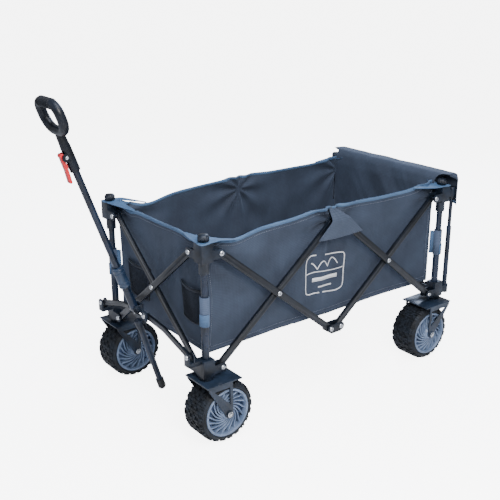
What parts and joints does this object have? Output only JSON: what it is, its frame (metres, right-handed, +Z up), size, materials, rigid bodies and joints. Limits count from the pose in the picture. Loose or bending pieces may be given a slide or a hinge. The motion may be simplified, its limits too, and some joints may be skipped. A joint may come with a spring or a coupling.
{
  "type": "folding camp wagon",
  "caption": "Folding utility wagon: scissor-bar frame with telescoping corner posts, fabric basket, swivelling front and fixed rear wide wheels, and a tilting, telescoping pull handle.",
  "frame": {"origin": "on the ground under the middle of the whole wagon's outline, handle included", "axes": "+X forward towards the pull handle, +Y to the wagon's left, +Z up"},
  "size_m": [1.3284, 0.624, 0.9659],
  "materials": {
    "casting": "fine-textured moulded nylon",
    "post_steel": "satin black powder coat",
    "sliding_steel": "satin blue-black coat, slightly polished by sliding",
    "bar_steel": "satin black powder coat",
    "fork_steel": "dark grey powder coat",
    "hub_plastic": "satin moulded grey-blue polypropylene",
    "tyre_rubber": "matt black treaded rubber",
    "grip_plastic": "moulded, finger-ribbed",
    "trigger_plastic": "glossy red moulding",
    "collar_plastic": "satin blue-grey moulding",
    "foot_rubber": "matt black rubber",
    "basket_fabric": "coated plain-weave polyester, charcoal with a blue cast"
  },
  "bodies": {
    "chassis": {"link_left_low": "casting", "basket": "basket_fabric"},
    "bar_left_front_outer": {"bar_left_front_outer": "bar_steel"},
    "bar_left_front_inner": {"bar_left_front_inner": "bar_steel"},
    "bar_left_rear_inner": {"bar_left_rear_inner": "bar_steel"},
    "bar_left_rear_outer": {"bar_left_rear_outer": "bar_steel"},
    "bar_right_front_outer": {"bar_right_front_outer": "bar_steel"},
    "bar_right_front_inner": {"bar_right_front_inner": "bar_steel"},
    "bar_right_rear_inner": {"bar_right_rear_inner": "bar_steel"},
    "bar_right_rear_outer": {"bar_right_rear_outer": "bar_steel"},
    "bar_front_outer": {"bar_front_outer": "bar_steel"},
    "bar_front_inner": {"bar_front_inner": "bar_steel"},
    "bar_rear_outer": {"bar_rear_outer": "bar_steel"},
    "bar_rear_inner": {"bar_rear_inner": "bar_steel"},
    "link_left_top": {"link_left_top": "casting"},
    "link_right_low": {"link_right_low": "casting"},
    "link_right_top": {"link_right_top": "casting"},
    "corner_low_fl": {"corner_low_fl": "casting", "post_tube_fl": "post_steel"},
    "corner_top_fl": {"corner_top_fl": "casting", "post_rod_fl": "sliding_steel"},
    "fork_fl": {"fork_fl": "fork_steel"},
    "corner_low_fr": {"corner_low_fr": "casting", "post_tube_fr": "post_steel"},
    "corner_top_fr": {"corner_top_fr": "casting", "post_rod_fr": "sliding_steel"},
    "fork_fr": {"fork_fr": "fork_steel"},
    "corner_low_rl": {"corner_low_rl": "casting", "post_tube_rl": "post_steel", "guide_tube_rl": "post_steel", "fork_rl": "fork_steel"},
    "corner_top_rl": {"corner_top_rl": "casting", "post_rod_rl": "sliding_steel", "guide_rod_rl": "sliding_steel"},
    "corner_low_rr": {"corner_low_rr": "casting", "post_tube_rr": "post_steel", "guide_tube_rr": "post_steel", "fork_rr": "fork_steel"},
    "corner_top_rr": {"corner_top_rr": "casting", "post_rod_rr": "sliding_steel", "guide_rod_rr": "sliding_steel"},
    "wheel_fl": {"hub_fl": "hub_plastic", "tyre_fl": "tyre_rubber"},
    "wheel_fr": {"hub_fr": "hub_plastic", "tyre_fr": "tyre_rubber"},
    "wheel_rl": {"hub_rl": "hub_plastic", "tyre_rl": "tyre_rubber"},
    "wheel_rr": {"hub_rr": "hub_plastic", "tyre_rr": "tyre_rubber"},
    "arm_left": {"arm_left": "bar_steel"},
    "arm_right": {"arm_right": "bar_steel"},
    "coupler": {"coupler": "casting", "stand_leg": "bar_steel", "foot_cap": "foot_rubber"},
    "handle_outer": {"handle_outer": "bar_steel", "handle_collar": "collar_plastic"},
    "handle_inner": {"handle_inner": "sliding_steel", "grip": "grip_plastic"},
    "trigger": {"trigger": "trigger_plastic"}
  },
  "joints": [
    {"name": "fold", "type": "hinge", "parent": "chassis", "child": "bar_left_front_outer", "pos_m": [-0.09192, 0.25, 0.222], "axis": [0, -1, 0], "range_deg": [0, 41], "deforming": ["basket"]},
    {"name": "left_front_top", "type": "hinge", "parent": "bar_left_front_outer", "child": "corner_top_fl", "pos_m": [0.31808, 0.25, 0.557], "axis": [0, 1, 0], "range_deg": [0, 41]},
    {"name": "left_front_cross", "type": "hinge", "parent": "bar_left_front_outer", "child": "bar_left_front_inner", "pos_m": [0.11308, 0.25, 0.3895], "axis": [0, 1, 0], "range_deg": [0, 82]},
    {"name": "left_front_low", "type": "hinge", "parent": "bar_left_front_inner", "child": "corner_low_fl", "pos_m": [0.31808, 0.25, 0.222], "axis": [0, -1, 0], "range_deg": [0, 41]},
    {"name": "left_link_top", "type": "hinge", "parent": "bar_left_front_inner", "child": "link_left_top", "pos_m": [-0.09192, 0.25, 0.557], "axis": [0, -1, 0], "range_deg": [0, 41]},
    {"name": "left_rear_rise", "type": "hinge", "parent": "chassis", "child": "bar_left_rear_inner", "pos_m": [-0.13192, 0.25, 0.222], "axis": [0, 1, 0], "range_deg": [0, 41]},
    {"name": "left_rear_top", "type": "hinge", "parent": "bar_left_rear_inner", "child": "corner_top_rl", "pos_m": [-0.54192, 0.25, 0.557], "axis": [0, -1, 0], "range_deg": [0, 41]},
    {"name": "left_rear_cross", "type": "hinge", "parent": "bar_left_rear_inner", "child": "bar_left_rear_outer", "pos_m": [-0.33692, 0.25, 0.3895], "axis": [0, -1, 0], "range_deg": [0, 82]},
    {"name": "left_rear_low", "type": "hinge", "parent": "bar_left_rear_outer", "child": "corner_low_rl", "pos_m": [-0.54192, 0.25, 0.222], "axis": [0, 1, 0], "range_deg": [0, 41]},
    {"name": "front_outer_rise", "type": "hinge", "parent": "corner_top_fl", "child": "bar_front_outer", "pos_m": [0.36308, 0.205, 0.557], "axis": [1, 0, 0], "range_deg": [0, 41]},
    {"name": "front_right_low", "type": "hinge", "parent": "bar_front_outer", "child": "corner_low_fr", "pos_m": [0.36308, -0.205, 0.222], "axis": [-1, 0, 0], "range_deg": [0, 41]},
    {"name": "front_cross", "type": "hinge", "parent": "bar_front_outer", "child": "bar_front_inner", "pos_m": [0.36308, 0, 0.3895], "axis": [-1, 0, 0], "range_deg": [0, 82]},
    {"name": "front_right_top", "type": "hinge", "parent": "bar_front_inner", "child": "corner_top_fr", "pos_m": [0.36308, -0.205, 0.557], "axis": [1, 0, 0], "range_deg": [0, 41]},
    {"name": "rear_outer_rise", "type": "hinge", "parent": "corner_top_rl", "child": "bar_rear_outer", "pos_m": [-0.58692, 0.205, 0.557], "axis": [1, 0, 0], "range_deg": [0, 41]},
    {"name": "rear_right_low", "type": "hinge", "parent": "bar_rear_outer", "child": "corner_low_rr", "pos_m": [-0.58692, -0.205, 0.222], "axis": [-1, 0, 0], "range_deg": [0, 41]},
    {"name": "rear_cross", "type": "hinge", "parent": "bar_rear_outer", "child": "bar_rear_inner", "pos_m": [-0.58692, 0, 0.3895], "axis": [-1, 0, 0], "range_deg": [0, 82]},
    {"name": "rear_right_top", "type": "hinge", "parent": "bar_rear_inner", "child": "corner_top_rr", "pos_m": [-0.58692, -0.205, 0.557], "axis": [1, 0, 0], "range_deg": [0, 41]},
    {"name": "right_front_rise", "type": "hinge", "parent": "corner_top_fr", "child": "bar_right_front_outer", "pos_m": [0.31808, -0.25, 0.557], "axis": [0, -1, 0], "range_deg": [0, 41]},
    {"name": "right_link_low", "type": "hinge", "parent": "bar_right_front_outer", "child": "link_right_low", "pos_m": [-0.09192, -0.25, 0.222], "axis": [0, 1, 0], "range_deg": [0, 41]},
    {"name": "right_front_cross", "type": "hinge", "parent": "bar_right_front_outer", "child": "bar_right_front_inner", "pos_m": [0.11308, -0.25, 0.3895], "axis": [0, 1, 0], "range_deg": [0, 82]},
    {"name": "right_link_top", "type": "hinge", "parent": "bar_right_front_inner", "child": "link_right_top", "pos_m": [-0.09192, -0.25, 0.557], "axis": [0, -1, 0], "range_deg": [0, 41]},
    {"name": "right_rear_rise", "type": "hinge", "parent": "corner_top_rr", "child": "bar_right_rear_inner", "pos_m": [-0.54192, -0.25, 0.557], "axis": [0, 1, 0], "range_deg": [0, 41]},
    {"name": "right_rear_cross", "type": "hinge", "parent": "bar_right_rear_inner", "child": "bar_right_rear_outer", "pos_m": [-0.33692, -0.25, 0.3895], "axis": [0, -1, 0], "range_deg": [0, 82]},
    {"name": "arm_left_lift", "type": "hinge", "parent": "corner_low_fl", "child": "arm_left", "pos_m": [0.41108, 0.243, 0.272], "axis": [-1, 0, 0], "range_deg": [0, 62.91]},
    {"name": "arm_left_level", "type": "hinge", "parent": "arm_left", "child": "coupler", "pos_m": [0.41108, 0.024, 0.318], "axis": [1, 0, 0], "range_deg": [0, 62.91]},
    {"name": "arm_right_lift", "type": "hinge", "parent": "corner_low_fr", "child": "arm_right", "pos_m": [0.41108, -0.243, 0.272], "axis": [1, 0, 0], "range_deg": [0, 62.91]},
    {"name": "swivel_fl", "type": "hinge", "parent": "corner_low_fl", "child": "fork_fl", "pos_m": [0.36308, 0.25, 0.19], "axis": [0, 0, 1], "continuous": true},
    {"name": "swivel_fr", "type": "hinge", "parent": "corner_low_fr", "child": "fork_fr", "pos_m": [0.36308, -0.25, 0.19], "axis": [0, 0, 1], "continuous": true},
    {"name": "roll_fl", "type": "hinge", "parent": "fork_fl", "child": "wheel_fl", "pos_m": [0.32308, 0.25, 0.093], "axis": [0, 1, 0], "continuous": true},
    {"name": "roll_fr", "type": "hinge", "parent": "fork_fr", "child": "wheel_fr", "pos_m": [0.32308, -0.25, 0.093], "axis": [0, 1, 0], "continuous": true},
    {"name": "roll_rl", "type": "hinge", "parent": "corner_low_rl", "child": "wheel_rl", "pos_m": [-0.52492, 0.25, 0.093], "axis": [0, 1, 0], "continuous": true},
    {"name": "roll_rr", "type": "hinge", "parent": "corner_low_rr", "child": "wheel_rr", "pos_m": [-0.52492, -0.25, 0.093], "axis": [0, 1, 0], "continuous": true},
    {"name": "handle_tilt", "type": "hinge", "parent": "coupler", "child": "handle_outer", "pos_m": [0.43608, 0, 0.34], "axis": [0, 1, 0], "range_deg": [-22, 64]},
    {"name": "handle_slide", "type": "slide", "parent": "handle_outer", "child": "handle_inner", "axis": [0.3371, 0, 0.9415], "range_m": [-0.07, 0]},
    {"name": "trigger_squeeze", "type": "hinge", "parent": "handle_inner", "child": "trigger", "pos_m": [0.6166, 0, 0.80857], "axis": [0, 1, 0], "range_deg": [0, 7], "stiffness_Nm_per_rad": 0.6}
  ],
  "couplings": [
    {"joint": "left_front_top", "follows": "fold", "ratio": 1},
    {"joint": "left_front_cross", "follows": "fold", "ratio": 2},
    {"joint": "left_front_low", "follows": "fold", "ratio": 1},
    {"joint": "left_link_top", "follows": "fold", "ratio": 1},
    {"joint": "left_rear_rise", "follows": "fold", "ratio": 1},
    {"joint": "left_rear_top", "follows": "fold", "ratio": 1},
    {"joint": "left_rear_cross", "follows": "fold", "ratio": 2},
    {"joint": "left_rear_low", "follows": "fold", "ratio": 1},
    {"joint": "front_outer_rise", "follows": "fold", "ratio": 1},
    {"joint": "front_right_low", "follows": "fold", "ratio": 1},
    {"joint": "front_cross", "follows": "fold", "ratio": 2},
    {"joint": "front_right_top", "follows": "fold", "ratio": 1},
    {"joint": "rear_outer_rise", "follows": "fold", "ratio": 1},
    {"joint": "rear_right_low", "follows": "fold", "ratio": 1},
    {"joint": "rear_cross", "follows": "fold", "ratio": 2},
    {"joint": "rear_right_top", "follows": "fold", "ratio": 1},
    {"joint": "right_front_rise", "follows": "fold", "ratio": 1},
    {"joint": "right_link_low", "follows": "fold", "ratio": 1},
    {"joint": "right_front_cross", "follows": "fold", "ratio": 2},
    {"joint": "right_link_top", "follows": "fold", "ratio": 1},
    {"joint": "right_rear_rise", "follows": "fold", "ratio": 1},
    {"joint": "right_rear_cross", "follows": "fold", "ratio": 2},
    {"joint": "arm_left_lift", "follows": "fold", "ratio": 1.5341},
    {"joint": "arm_left_level", "follows": "fold", "ratio": 1.5341},
    {"joint": "arm_right_lift", "follows": "fold", "ratio": 1.5341}
  ]
}
